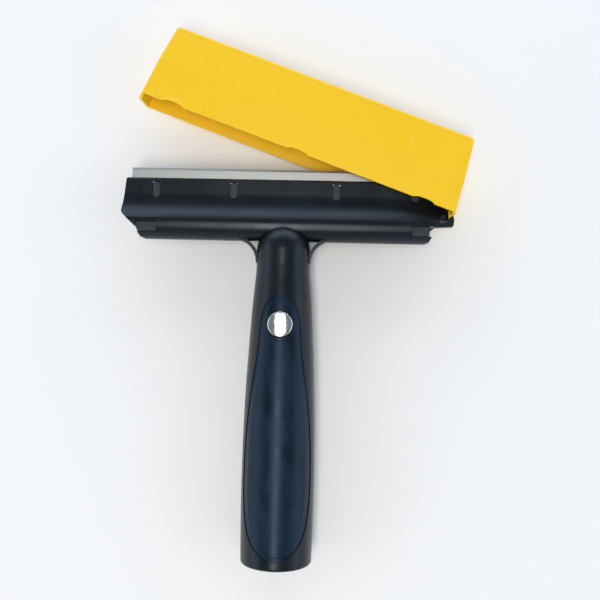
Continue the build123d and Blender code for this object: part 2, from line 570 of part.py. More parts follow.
with BuildPart() as rocker:
    with BuildSketch(Plane.YZ):
        with BuildLine():
            Polyline((TOOTH_Y - 1.3, 11.6), (TOOTH_Y - 1.3, TOOTH_TIP_Z),
                     (TOOTH_Y + 0.1, TOOTH_TIP_Z), (TOOTH_Y + 1.3, TOOTH_TIP_Z + 1.2),
                     (TOOTH_Y + 1.3, 10.6), (98.9, 10.6), (ROCKER_Y - 0.7, ROCKER_Z),
                     (ROCKER_Y + 1.0, 9.6), (ROCKER_Y - 0.2, 10.9), (97.0, 11.6), close=True)
        make_face()
        with BuildLine():
            Polyline((ROCKER_Y, ROCKER_Z + 1.3), (103.2, 9.3), (111.2, TAIL_BOTTOM_Z + 1.2),
                     (BUTTON_Y + 3, TAIL_BOTTOM_Z + 1.2), (BUTTON_Y + 3, TAIL_BOTTOM_Z),
                     (110.8, TAIL_BOTTOM_Z), (101.5, 7.3), close=True)
        make_face()
        with Locations((ROCKER_Y, ROCKER_Z)):
            Circle(2.3)
            Circle(ROCKER_PIN_R + RUNNING_GAP, mode=Mode.SUBTRACT)
    extrude(amount=ROCKER_HALF_WIDTH, both=True)
rest(rocker.part, "lock_lever")

with BuildPart() as rocker_pin:
    with Locations(Plane((0, ROCKER_Y, ROCKER_Z), z_dir=(1, 0, 0))):
        Cylinder(ROCKER_PIN_R, 2 * CHEEK_X + CHEEK_THICK)
rest(rocker_pin.part, "lock_lever_pin")

# ---------------------------------------------------------------- push button
with BuildPart() as guide:
    with Locations((0, BUTTON_Y, GUIDE_BOTTOM_Z)):
        Cylinder(GUIDE_R, 12, align=(Align.CENTER, Align.CENTER, Align.MIN))
    add(grip_pad_top, mode=Mode.INTERSECT)
    with Locations((0, BUTTON_Y, GUIDE_FLOOR_Z)):
        Cylinder(BUTTON_R + 0.3, 12, align=(Align.CENTER, Align.CENTER, Align.MIN),
                 mode=Mode.SUBTRACT)
    with Locations((0, BUTTON_Y, 0)):
        Cylinder(STEM_R + RUNNING_GAP, 30, mode=Mode.SUBTRACT)
rest(guide.part, "button_guide")

cap_bottom_z = GUIDE_FLOOR_Z + BUTTON_TRAVEL + 0.35
with BuildPart() as cap:
    with Locations((0, BUTTON_Y, cap_bottom_z)):
        Cylinder(BUTTON_R, 8, align=(Align.CENTER, Align.CENTER, Align.MIN))
    add(button_top, mode=Mode.INTERSECT)
    fillet(cap.faces().sort_by(Axis.Z)[-1].edges(), radius=0.5)
rest(cap.part, "button_cap")

stem_low_z = TAIL_BOTTOM_Z + 1.2 + 0.4
with BuildPart() as stem:
    with Locations((0, BUTTON_Y, stem_low_z)):
        Cylinder(STEM_R, cap_bottom_z - stem_low_z, align=(Align.CENTER, Align.CENTER, Align.MIN))
    # round nose that rolls on the lever's tail
    fillet(stem.edges().group_by(Axis.Z)[0], radius=1.0)
    with Locations((0, BUTTON_Y, CLIP_Z)):
        Cylinder(STEM_R + 1, CLIP_THICK, align=(Align.CENTER, Align.CENTER, Align.MIN),
                 mode=Mode.SUBTRACT)
        Cylinder(STEM_R - 0.5, CLIP_THICK, align=(Align.CENTER, Align.CENTER, Align.MIN))
rest(stem.part, "button_stem")

with BuildPart() as clip:
    with Locations((0, BUTTON_Y, CLIP_Z)):
        Cylinder(STEM_R + 1.2, CLIP_THICK, align=(Align.CENTER, Align.CENTER, Align.MIN))
        Cylinder(STEM_R - 0.5, CLIP_THICK, align=(Align.CENTER, Align.CENTER, Align.MIN),
                 mode=Mode.SUBTRACT)
    with Locations((0, BUTTON_Y + STEM_R, CLIP_Z)):
        Box(2.6, 3, 3, mode=Mode.SUBTRACT)
rest(clip.part, "stem_clip")

with BuildPart() as spring:
    spring_long = TAIL_BOTTOM_Z - SPRING_SEAT_Z - 2 * SPRING_WIRE_R
    with BuildLine():
        coil = Helix(pitch=spring_long / SPRING_TURNS, height=spring_long,
                     radius=SPRING_R - SPRING_WIRE_R,
                     center=(0, BUTTON_Y, SPRING_SEAT_Z + SPRING_WIRE_R))
    with BuildSketch(Plane(origin=coil @ 0, z_dir=coil % 0)):
        Circle(SPRING_WIRE_R)
    sweep(path=coil, is_frenet=True)
rest(spring.part, "button_spring")
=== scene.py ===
# %% [markdown]
# # A window scraper with a pivoting blade guard
#
# The tool is a black moulded handle and head, a wide steel blade held by a grey clamp plate, two
# soft grips, a chrome button that unlocks the extension pole, and a yellow guard that swings
# over the blade. The frame brings in every CAD node in its place, in metres: +Y runs from the
# butt of the handle to the blade, +X along the blade, +Z out of the front face.
#
# The box of the CAD model is kept, and the table is placed by it.

# %% Load the frame
import json
from math import cos, pi, radians, sin

import bmesh
import bpy
from mathutils import Euler, Matrix, Vector


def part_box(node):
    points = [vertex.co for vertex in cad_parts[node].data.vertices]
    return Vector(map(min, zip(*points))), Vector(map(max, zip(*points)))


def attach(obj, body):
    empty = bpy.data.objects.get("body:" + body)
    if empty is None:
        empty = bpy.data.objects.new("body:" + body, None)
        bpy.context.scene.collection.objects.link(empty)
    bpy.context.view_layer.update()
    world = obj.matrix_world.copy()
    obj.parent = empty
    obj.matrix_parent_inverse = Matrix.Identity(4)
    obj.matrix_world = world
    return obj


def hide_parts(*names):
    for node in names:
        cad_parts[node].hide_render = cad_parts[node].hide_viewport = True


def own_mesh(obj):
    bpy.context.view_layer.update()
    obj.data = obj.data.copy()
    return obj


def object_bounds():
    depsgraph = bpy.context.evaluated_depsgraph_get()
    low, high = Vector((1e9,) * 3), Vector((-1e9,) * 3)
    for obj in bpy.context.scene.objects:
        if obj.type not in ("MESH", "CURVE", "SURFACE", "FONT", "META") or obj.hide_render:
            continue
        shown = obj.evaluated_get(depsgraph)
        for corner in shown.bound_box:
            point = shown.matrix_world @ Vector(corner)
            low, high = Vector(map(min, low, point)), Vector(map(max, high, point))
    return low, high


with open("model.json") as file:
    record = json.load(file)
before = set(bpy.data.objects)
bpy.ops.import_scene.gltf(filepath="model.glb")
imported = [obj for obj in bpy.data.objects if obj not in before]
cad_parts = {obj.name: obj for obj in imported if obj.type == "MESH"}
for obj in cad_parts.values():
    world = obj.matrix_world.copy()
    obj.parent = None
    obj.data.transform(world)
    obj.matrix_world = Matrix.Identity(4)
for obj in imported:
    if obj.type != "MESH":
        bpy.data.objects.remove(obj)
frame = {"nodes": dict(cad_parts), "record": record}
nodes = frame["nodes"]
cad_low, cad_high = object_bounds()
MM = 0.001
print("CAD nodes:", len(nodes), "box in mm:", [round(side / MM, 1) for side in cad_high - cad_low])

# %% [markdown]
# ## Three helpers for materials
#
# A finish is written down in sRGB hex, the way a paint or pigment is picked on a screen, and
# Cycles works in linear light, so one function turns one into the other. Every node goes in
# through one small function: its settings are keyword arguments, and its inputs are either
# plain values or the sockets that feed them. A new material starts as a Principled shader with
# the point on the object ready in millimetres, so that every pattern can be sized in real units.

# %% Colour, node and material helpers
def linear(code):
    """Linear colour with alpha from an sRGB hex code."""
    parts = [int(code[i:i + 2], 16) / 255 for i in (0, 2, 4)]
    light = [c / 12.92 if c <= 0.04045 else ((c + 0.055) / 1.055) ** 2.4 for c in parts]
    return (*light, 1.0)


def add(tree, kind, inputs=None, **settings):
    """Adds a node with its settings, and gives each input a value or a link."""
    node = tree.nodes.new(kind)
    for name, value in settings.items():
        setattr(node, name, value)
    for name, value in (inputs or {}).items():
        if isinstance(value, bpy.types.NodeSocket):
            tree.links.new(value, node.inputs[name])
        else:
            node.inputs[name].default_value = value
    return node


def finish(name, **sockets):
    """New material: its tree, its Principled shader and the object's own point in millimetres."""
    material = bpy.data.materials.new(name)
    material.use_nodes = True
    tree = material.node_tree
    shader = tree.nodes["Principled BSDF"]
    for label, value in sockets.items():
        shader.inputs[label.replace("_", " ")].default_value = value
    place = add(tree, "ShaderNodeTexCoord").outputs["Object"]
    point = add(tree, "ShaderNodeVectorMath", {0: place, "Scale": 1 / MM}, operation="SCALE")
    return material, tree, shader, point.outputs["Vector"]


# %% [markdown]
# ## Black polypropylene
#
# The handle and the head are one injection moulding in black polypropylene. The steel mould was
# spark-eroded, which leaves a fine even grain with a satin shine. Handling adds broad smudges
# that are a little duller and bluer than the clean plastic, and the flow of the melt leaves
# faint streaks along the part.
#
# Two noises do this: a wide one moves the roughness and the colour a little, and a fine one
# gives the grain as bump. The real grain is about 0.05 mm, finer than shows from arm's length,
# so it is drawn at 0.3 mm.

# %% Black polypropylene
GRAIN_MM = 0.3
SMUDGE_MM = 22.0


def black_polypropylene():
    material, tree, shader, point = finish("black_polypropylene", IOR=1.49,
                                           Specular_Tint=linear("CADCEC"))
    smudge = add(tree, "ShaderNodeTexNoise",
                 {"Vector": point, "Scale": 1 / SMUDGE_MM, "Detail": 4.0, "Roughness": 0.6})
    flow = add(tree, "ShaderNodeMapping", {"Vector": point, "Scale": (1.0, 0.12, 1.0)})
    streak = add(tree, "ShaderNodeTexNoise",
                 {"Vector": flow.outputs["Vector"], "Scale": 1 / 6.0, "Detail": 3.0})
    colour = add(tree, "ShaderNodeMix",
                 {"Factor": smudge.outputs["Fac"], 6: linear("080A0B"), 7: linear("0A1015")},
                 data_type="RGBA")
    tree.links.new(colour.outputs[2], shader.inputs["Base Color"])
    shine = add(tree, "ShaderNodeMath", {0: smudge.outputs["Fac"], 1: streak.outputs["Fac"]},
                operation="ADD")
    rough = add(tree, "ShaderNodeMapRange",
                {"Value": shine.outputs["Value"], "From Min": 0.7, "From Max": 1.3,
                 "To Min": 0.28, "To Max": 0.38})
    tree.links.new(rough.outputs["Result"], shader.inputs["Roughness"])
    grain = add(tree, "ShaderNodeTexNoise",
                {"Vector": point, "Scale": 1 / GRAIN_MM, "Detail": 2.0})
    bump = add(tree, "ShaderNodeBump",
               {"Height": grain.outputs["Fac"], "Strength": 0.10, "Distance": 0.02 * MM})
    tree.links.new(bump.outputs["Normal"], shader.inputs["Normal"])
    return material


# %% [markdown]
# ## Soft-touch elastomer
#
# The grips are a thermoplastic elastomer moulded over the hard handle. It is a blue-black
# rubber with a soft sheen: light spreads wide over it, hands leave duller prints, and it picks
# up pale dust. The prints are a stretched noise pushed through a colour ramp, so that only its
# peaks show, and the dust is a finer one.

# %% Soft-touch elastomer
PRINT_MM = 9.0


def soft_touch_elastomer():
    material, tree, shader, point = finish("soft_touch_elastomer", IOR=1.5, Sheen_Weight=0.05,
                                           Sheen_Roughness=0.4,
                                           Specular_Tint=linear("9CC2EC"))
    shader.inputs["Sheen Tint"].default_value = linear("8FB0D8")
    along = add(tree, "ShaderNodeMapping", {"Vector": point, "Scale": (1.0, 0.45, 1.0)})
    prints = add(tree, "ShaderNodeTexNoise",
                 {"Vector": along.outputs["Vector"], "Scale": 1 / PRINT_MM, "Detail": 5.0,
                  "Roughness": 0.55, "Distortion": 0.4})
    peaks = add(tree, "ShaderNodeMapRange",
                {"Value": prints.outputs["Fac"], "From Min": 0.42, "From Max": 0.68})
    colour = add(tree, "ShaderNodeMix",
                 {"Factor": peaks.outputs["Result"], 6: linear("091018"), 7: linear("142434")},
                 data_type="RGBA")
    dust = add(tree, "ShaderNodeTexNoise", {"Vector": point, "Scale": 1 / 0.9, "Detail": 2.0})
    specks = add(tree, "ShaderNodeMapRange",
                 {"Value": dust.outputs["Fac"], "From Min": 0.70, "From Max": 0.80,
                  "To Max": 0.25})
    dusty = add(tree, "ShaderNodeMix",
                {"Factor": specks.outputs["Result"], 6: colour.outputs[2], 7: linear("5C6A75")},
                data_type="RGBA")
    tree.links.new(dusty.outputs[2], shader.inputs["Base Color"])
    rough = add(tree, "ShaderNodeMapRange",
                {"Value": prints.outputs["Fac"], "From Min": 0.3, "From Max": 0.7,
                 "To Min": 0.30, "To Max": 0.46})
    tree.links.new(rough.outputs["Result"], shader.inputs["Roughness"])
    skin = add(tree, "ShaderNodeTexNoise", {"Vector": point, "Scale": 1 / 0.4, "Detail": 3.0})
    bump = add(tree, "ShaderNodeBump",
               {"Height": skin.outputs["Fac"], "Strength": 0.12, "Distance": 0.03 * MM})
    tree.links.new(bump.outputs["Normal"], shader.inputs["Normal"])
    return material


# %% [markdown]
# ## Yellow polypropylene
#
# The guard is unfilled polypropylene with a warm yellow pigment. Thin walls of it let some
# light through, which is why the inside of the channel glows orange instead of going black.
# A little subsurface scattering with a radius near the wall's 1.4 mm gives that. Its surface is
# moulded satin, with pale scuffs where it has rubbed against other tools.

# %% Yellow polypropylene
SCUFF_MM = 3.0


def yellow_polypropylene():
    material, tree, shader, point = finish("yellow_polypropylene", IOR=1.49,
                                           Subsurface_Weight=0.18, Subsurface_Scale=1.4 * MM)
    shader.inputs["Subsurface Radius"].default_value = (1.0, 0.55, 0.08)
    cloud = add(tree, "ShaderNodeTexNoise",
                {"Vector": point, "Scale": 1 / 35.0, "Detail": 3.0, "Roughness": 0.5})
    colour = add(tree, "ShaderNodeMix",
                 {"Factor": cloud.outputs["Fac"], 6: linear("FCC80A"), 7: linear("FFD016")},
                 data_type="RGBA")
    turned = add(tree, "ShaderNodeMapping",
                 {"Vector": point, "Rotation": (0, 0, radians(35)), "Scale": (1.0, 0.25, 1.0)})
    scuff = add(tree, "ShaderNodeTexNoise",
                {"Vector": turned.outputs["Vector"], "Scale": 1 / SCUFF_MM, "Detail": 6.0,
                 "Roughness": 0.7})
    marks = add(tree, "ShaderNodeMapRange",
                {"Value": scuff.outputs["Fac"], "From Min": 0.62, "From Max": 0.80,
                 "To Max": 0.30})
    worn = add(tree, "ShaderNodeMix",
               {"Factor": marks.outputs["Result"], 6: colour.outputs[2], 7: linear("FBDD73")},
               data_type="RGBA")
    tree.links.new(worn.outputs[2], shader.inputs["Base Color"])
    rough = add(tree, "ShaderNodeMapRange",
                {"Value": scuff.outputs["Fac"], "From Min": 0.35, "From Max": 0.75,
                 "To Min": 0.34, "To Max": 0.52})
    tree.links.new(rough.outputs["Result"], shader.inputs["Roughness"])
    grain = add(tree, "ShaderNodeTexNoise",
                {"Vector": point, "Scale": 1 / GRAIN_MM, "Detail": 2.0})
    bump = add(tree, "ShaderNodeBump",
               {"Height": grain.outputs["Fac"], "Strength": 0.08, "Distance": 0.02 * MM})
    tree.links.new(bump.outputs["Normal"], shader.inputs["Normal"])
    return material


# %% [markdown]
# ## Ground carbon steel
#
# The blade is strip steel, ground across its width, so its scratches run towards the cutting
# edge and it shines in a band along its length. A metal keeps the shader's own IOR: its colour
# comes from the base colour. Stretched noise makes the scratches, and a wide faint one makes
# the tea-coloured bloom that unpainted steel gets from wet glass.

# %% Ground carbon steel
def ground_carbon_steel():
    material, tree, shader, point = finish("ground_carbon_steel", Metallic=1.0)
    across = add(tree, "ShaderNodeMapping", {"Vector": point, "Scale": (6.0, 0.15, 1.0)})
    lines = add(tree, "ShaderNodeTexNoise",
                {"Vector": across.outputs["Vector"], "Scale": 1.0, "Detail": 4.0,
                 "Roughness": 0.6})
    bloom = add(tree, "ShaderNodeTexNoise", {"Vector": point, "Scale": 1 / 18.0, "Detail": 4.0})
    stain = add(tree, "ShaderNodeMapRange",
                {"Value": bloom.outputs["Fac"], "From Min": 0.45, "From Max": 0.75,
                 "To Max": 0.6})
    colour = add(tree, "ShaderNodeMix",
                 {"Factor": stain.outputs["Result"], 6: linear("BCC1C2"), 7: linear("C9BCA4")},
                 data_type="RGBA")
    tree.links.new(colour.outputs[2], shader.inputs["Base Color"])
    rough = add(tree, "ShaderNodeMapRange",
                {"Value": lines.outputs["Fac"], "From Min": 0.3, "From Max": 0.7,
                 "To Min": 0.34, "To Max": 0.50})
    tree.links.new(rough.outputs["Result"], shader.inputs["Roughness"])
    bump = add(tree, "ShaderNodeBump",
               {"Height": lines.outputs["Fac"], "Strength": 0.06, "Distance": 0.01 * MM})
    tree.links.new(bump.outputs["Normal"], shader.inputs["Normal"])
    return material


# %% [markdown]
# ## Bright chrome, zinc, brass and blackened steel
#
# The metals share one recipe, because they differ in numbers and not in kind: a metal colour
# that drifts between two tints, and a roughness that drifts with it. Chrome on moulded plastic
# is almost a mirror with a few pits, zinc plating has a cloudy bluish passivation, turned brass
# is yellow and finely lined, and the pin is steel with a black oxide skin.

# %% The plated and turned metals
def metal(name, clean, dull, cloud_mm, shiny, rough_most):
    material, tree, shader, point = finish(name, Metallic=1.0)
    cloud = add(tree, "ShaderNodeTexNoise",
                {"Vector": point, "Scale": 1 / cloud_mm, "Detail": 5.0, "Roughness": 0.65})
    share = add(tree, "ShaderNodeMapRange",
                {"Value": cloud.outputs["Fac"], "From Min": 0.4, "From Max": 0.75})
    colour = add(tree, "ShaderNodeMix",
                 {"Factor": share.outputs["Result"], 6: linear(clean), 7: linear(dull)},
                 data_type="RGBA")
    tree.links.new(colour.outputs[2], shader.inputs["Base Color"])
    rough = add(tree, "ShaderNodeMapRange",
                {"Value": share.outputs["Result"], "To Min": shiny, "To Max": rough_most})
    tree.links.new(rough.outputs["Result"], shader.inputs["Roughness"])
    return material


# %% [markdown]
# ## Matt grey nylon and dark liner plastic
#
# The clamp plate behind the blade is a glass-filled nylon, paler and duller than the body, and
# its pegs are what shows as grey in the windows of the plate. The pole socket's liner is a dark
# grey of the same kind, with drag marks along the handle from the poles that went in and out.

# %% The filled plastics
def filled_plastic(name, deep, pale, stretch, rough_least, rough_most):
    material, tree, shader, point = finish(name, IOR=1.53)
    drawn = add(tree, "ShaderNodeMapping", {"Vector": point, "Scale": stretch})
    fibre = add(tree, "ShaderNodeTexNoise",
                {"Vector": drawn.outputs["Vector"], "Scale": 1 / 1.2, "Detail": 5.0,
                 "Roughness": 0.65})
    colour = add(tree, "ShaderNodeMix",
                 {"Factor": fibre.outputs["Fac"], 6: linear(deep), 7: linear(pale)},
                 data_type="RGBA")
    tree.links.new(colour.outputs[2], shader.inputs["Base Color"])
    rough = add(tree, "ShaderNodeMapRange",
                {"Value": fibre.outputs["Fac"], "From Min": 0.3, "From Max": 0.7,
                 "To Min": rough_least, "To Max": rough_most})
    tree.links.new(rough.outputs["Result"], shader.inputs["Roughness"])
    bump = add(tree, "ShaderNodeBump",
               {"Height": fibre.outputs["Fac"], "Strength": 0.15, "Distance": 0.04 * MM})
    tree.links.new(bump.outputs["Normal"], shader.inputs["Normal"])
    return material


# %% Make the finishes and give each CAD node its own
finishes = {
    "black_body": black_polypropylene(),
    "soft_grip": soft_touch_elastomer(),
    "yellow_guard": yellow_polypropylene(),
    "blade_steel": ground_carbon_steel(),
    "chrome": metal("bright_chrome", "DDE0E3", "B9BEC4", 2.5, 0.03, 0.16),
    "grey_plastic": filled_plastic("glass_filled_nylon", "20282E", "2C353C", (1, 1, 1), 0.5, 0.7),
    "liner_plastic": filled_plastic("liner_nylon", "282B2E", "3A3E42", (1, 0.1, 1), 0.4, 0.6),
    "zinc_steel": metal("zinc_plated_steel", "C3C6C8", "A6A391", 1.6, 0.22, 0.42),
    "dark_pin": metal("black_oxide_steel", "2B2D30", "3A3733", 1.0, 0.28, 0.45),
    "brass": metal("turned_brass", "D2AE63", "A98443", 0.8, 0.22, 0.38),
}
for part in frame["record"]["subparts"]:
    mesh = nodes[part["node"]].data
    mesh.materials.clear()
    mesh.materials.append(finishes[part["material_slot"]])
print("finishes:", ", ".join(material.name for material in finishes.values()))

# %% [markdown]
# ## Turned shapes
#
# The button cap and the screw heads are round, so each is one outline turned about its axis. The
# outline is a list of radius and height, and where the radius is nothing it closes in a single
# point, so that the pole has no hole. Neighbouring faces share their corners, and the faces are
# made to point outwards.

# %% Lathe and object helpers
def lathe(name, outline, segments):
    """Closed mesh of an outline of (radius, height) turned about Z."""
    form = bmesh.new()
    rings = []
    for radius, rise in outline:
        if radius == 0:
            rings.append([form.verts.new((0, 0, rise))] * segments)
        else:
            rings.append([form.verts.new((radius * cos(2 * pi * i / segments),
                                          radius * sin(2 * pi * i / segments), rise))
                          for i in range(segments)])
    for inner, outer in zip(rings, rings[1:]):
        for i in range(segments):
            corners = (inner[i - 1], inner[i], outer[i], outer[i - 1])
            form.faces.new(list(dict.fromkeys(corners)))
    bmesh.ops.recalc_face_normals(form, faces=form.faces)
    mesh = bpy.data.meshes.new(name)
    form.to_mesh(mesh)
    form.free()
    return mesh


def piece(name, mesh, material, body, slot, *stands_for):
    """Object for a finished mesh: its finish, its body and the nodes it replaces; the slot is not
    used.
    """
    if not mesh.materials:
        mesh.materials.append(material)
    made = bpy.data.objects.new(name, mesh)
    bpy.context.collection.objects.link(made)
    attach(made, body)
    if stands_for:
        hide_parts(*stands_for)
    print(name, "has", len(mesh.polygons), "faces and rides on", body)
    return made


# %% [markdown]
# ## The chrome button
#
# The cap is a plated moulding: a disc with a rolled edge and a top that is nearly flat, crowned
# a little across the handle. That crown is why it mirrors the long lamp as one straight white
# band and the darker room on both sides of it. The cap is turned on the lathe, and then its top
# is bent down to both sides with a radius of its own.

# %% Button cap
CAP_ROLL = 0.7 * MM
CAP_CROWN = 46.0 * MM
CAP_SINK = 0.15 * MM


def button_cap():
    low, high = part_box("button_cap")
    radius = (high.x - low.x) / 2
    top = high.z - CAP_SINK
    flat = [(radius - CAP_ROLL) * share / 8 for share in range(9)]
    roll = [radians(15 * step) for step in range(1, 7)]
    outline = [(r, top) for r in flat]
    outline += [(radius - CAP_ROLL * (1 - sin(t)), top - CAP_ROLL * (1 - cos(t))) for t in roll]
    outline += [(radius, low.z), (radius - CAP_ROLL, low.z), (0, low.z)]
    mesh = lathe("button_cap_chrome", outline, 72)
    middle_y = (low.y + high.y) / 2
    for vertex in mesh.vertices:
        if vertex.co.z > low.z + CAP_ROLL:
            vertex.co.z -= vertex.co.x ** 2 / (2 * CAP_CROWN)
        vertex.co.y += middle_y
    mesh.shade_smooth()
    return piece("chrome_button", mesh, finishes["chrome"], "button", "chrome", "button_cap")


button_cap()

# %% [markdown]
# ## Geometry Nodes for what repeats
#
# The screws and the teeth of the push nut are each one shape set down several times, and the
# return spring is a wire that follows a path. A node tree does that best: the shape is made once,
# and the number, the spacing and the size stay readable as named inputs. The tree ends by
# realizing its instances and setting the material, because only real faces go into a plain mesh.
# Its result is then kept as a plain mesh, and the tree is dropped.

# %% Tree helpers
SOCKETS = {float: "NodeSocketFloat", int: "NodeSocketInt", Vector: "NodeSocketVector",
           bpy.types.Material: "NodeSocketMaterial", bpy.types.Object: "NodeSocketObject"}


def start_tree(name, values):
    """Tree with one named input for each value and a geometry output, and its input sockets."""
    tree = bpy.data.node_groups.new(name, "GeometryNodeTree")
    for label, value in values.items():
        tree.interface.new_socket(label, in_out="INPUT", socket_type=SOCKETS[type(value)])
    tree.interface.new_socket("Geometry", in_out="OUTPUT", socket_type="NodeSocketGeometry")
    return tree, add(tree, "NodeGroupInput").outputs


def end_tree(tree, geometry, material):
    """Makes the instances real, sets the finish and sends the result out."""
    real = add(tree, "GeometryNodeRealizeInstances", {"Geometry": geometry})
    dressed = add(tree, "GeometryNodeSetMaterial",
                  {"Geometry": real.outputs["Geometry"], "Material": material})
    add(tree, "NodeGroupOutput", {"Geometry": dressed.outputs["Geometry"]})


def grow(tree, values):
    """Runs the tree with its values and returns the result as a plain mesh."""
    host = bpy.data.objects.new("host", bpy.data.meshes.new("host"))
    bpy.context.collection.objects.link(host)
    modifier = host.modifiers.new("grow", "NODES")
    modifier.node_group = tree
    for socket in tree.interface.items_tree:
        if socket.in_out == "INPUT":
            modifier[socket.identifier] = values[socket.name]
    graph = bpy.context.evaluated_depsgraph_get()
    mesh = bpy.data.meshes.new_from_object(host.evaluated_get(graph))
    mesh.name = tree.name
    bpy.data.objects.remove(host)
    return mesh


# %% [markdown]
# ## The clamp screws
#
# Two zinc-plated pan-head screws hold the clamp plate. The head is a low dome with a cross
# recess, and the shank goes into a brass insert. One screw is turned on the lathe, the recess is
# cut with a boolean, and a tree sets the same screw down at both ends of a line.

# %% Pan-head screws
HEAD_RADIUS = 2.7 * MM
HEAD_HEIGHT = 1.7 * MM
DOME_FLAT = 0.8 * MM            # radius of the flat in the middle of the head
DOME_RIM = 0.5 * MM             # height at which the dome meets the head's side
SCREW_TURN = 0.5                # how far the screws happen to be turned, in radians
SHANK_RADIUS = 1.48 * MM
RECESS_WIDE = 0.62 * MM
RECESS_LONG = 3.3 * MM
RECESS_DEEP = 1.0 * MM


def cross_cutter(name):
    """Cross-shaped plug that narrows with depth, from above the head down into it."""
    narrow, far = RECESS_WIDE / 2, RECESS_LONG / 2
    arm = [(far, -narrow), (far, narrow), (narrow, narrow)]
    outline = [(x * cos(t) - y * sin(t), x * sin(t) + y * cos(t))
               for t in (0, pi / 2, pi, 3 * pi / 2) for x, y in arm]
    form = bmesh.new()
    rings = [[form.verts.new((x * share, y * share, level)) for x, y in outline]
             for share, level in ((1.25, HEAD_HEIGHT + 0.4 * MM),
                                  (0.55, HEAD_HEIGHT - RECESS_DEEP))]
    form.faces.new(rings[0])
    form.faces.new(rings[1][::-1])
    for i in range(len(outline)):
        form.faces.new((rings[0][i], rings[0][i - 1], rings[1][i - 1], rings[1][i]))
    bmesh.ops.recalc_face_normals(form, faces=form.faces)
    mesh = bpy.data.meshes.new(name)
    form.to_mesh(mesh)
    form.free()
    return mesh


def screw_mesh(long):
    """Screw with its head's seat at height 0, its shank below and a cross recess on top."""
    dome = [radians(15 * step) for step in range(1, 6)]
    outline = [(0, HEAD_HEIGHT), (DOME_FLAT, HEAD_HEIGHT)]
    outline += [(DOME_FLAT + (HEAD_RADIUS - DOME_FLAT) * sin(t),
                 HEAD_HEIGHT - (HEAD_HEIGHT - DOME_RIM) * (1 - cos(t))) for t in dome]
    outline += [(HEAD_RADIUS, 0.45 * MM), (HEAD_RADIUS, 0.1 * MM), (HEAD_RADIUS - 0.1 * MM, 0),
                (SHANK_RADIUS, 0), (SHANK_RADIUS, -long + 0.4 * MM),
                (SHANK_RADIUS - 0.4 * MM, -long), (0, -long)]
    screw = bpy.data.objects.new("screw", lathe("screw", outline, 48))
    plug = bpy.data.objects.new("cross_recess", cross_cutter("cross_recess"))
    # the cut is made a thousand times larger, as a precaution with such small sizes
    for part in (screw, plug):
        part.data.transform(Matrix.Scale(1 / MM, 4))
        bpy.context.collection.objects.link(part)
    cut = screw.modifiers.new("recess", "BOOLEAN")
    cut.object, cut.operation, cut.solver = plug, "DIFFERENCE", "EXACT"
    graph = bpy.context.evaluated_depsgraph_get()
    mesh = bpy.data.meshes.new_from_object(screw.evaluated_get(graph))
    mesh.transform(Matrix.Scale(MM, 4))
    for part in (screw, plug):
        bpy.data.objects.remove(part)
    return mesh


def clamp_screws():
    low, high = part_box("clamp_screws")
    seat = low.z + HEAD_HEIGHT
    one = bpy.data.objects.new("one_screw", screw_mesh(high.z - seat))
    bpy.context.collection.objects.link(one)
    values = {"Screw": one, "Start": Vector((low.x + HEAD_RADIUS, (low.y + high.y) / 2, seat)),
              "Spacing": high.x - low.x - 2 * HEAD_RADIUS, "Count": 2,
              "Finish": finishes["zinc_steel"]}
    tree, given = start_tree("clamp_screw_set", values)
    step = add(tree, "ShaderNodeCombineXYZ", {"X": given["Spacing"]})
    line = add(tree, "GeometryNodeMeshLine",
               {"Count": given["Count"], "Start Location": given["Start"],
                "Offset": step.outputs["Vector"]})
    shape = add(tree, "GeometryNodeObjectInfo", {"Object": given["Screw"]})
    down = add(tree, "FunctionNodeEulerToRotation", {"Euler": (pi, 0, SCREW_TURN)})
    placed = add(tree, "GeometryNodeInstanceOnPoints",
                 {"Points": line.outputs["Mesh"], "Instance": shape.outputs["Geometry"],
                  "Rotation": down.outputs["Rotation"]})
    end_tree(tree, placed.outputs["Instances"], given["Finish"])
    mesh = grow(tree, values)
    bpy.data.objects.remove(one)
    mesh.shade_smooth()
    mesh.set_sharp_from_angle(angle=radians(35))
    piece("pan_head_screws", mesh, finishes["zinc_steel"], "tool", "zinc_steel", "clamp_screws")


clamp_screws()

# %% [markdown]
# ## The push nut
#
# The pivot pin is held by a push nut: a spring-steel ring whose six teeth bite into the pin and
# stand up a little from the ring. The ring is a flat band swept round a circle, and the teeth
# are one wedge set down at points on that circle, each turned to face the pin.

# %% Push nut
NUT_BAND = 0.75 * MM
NUT_THICK = 0.3 * MM
TOOTH_LONG = 0.75 * MM
TOOTH_WIDE = 0.8 * MM
TOOTH_RISE = 22.0


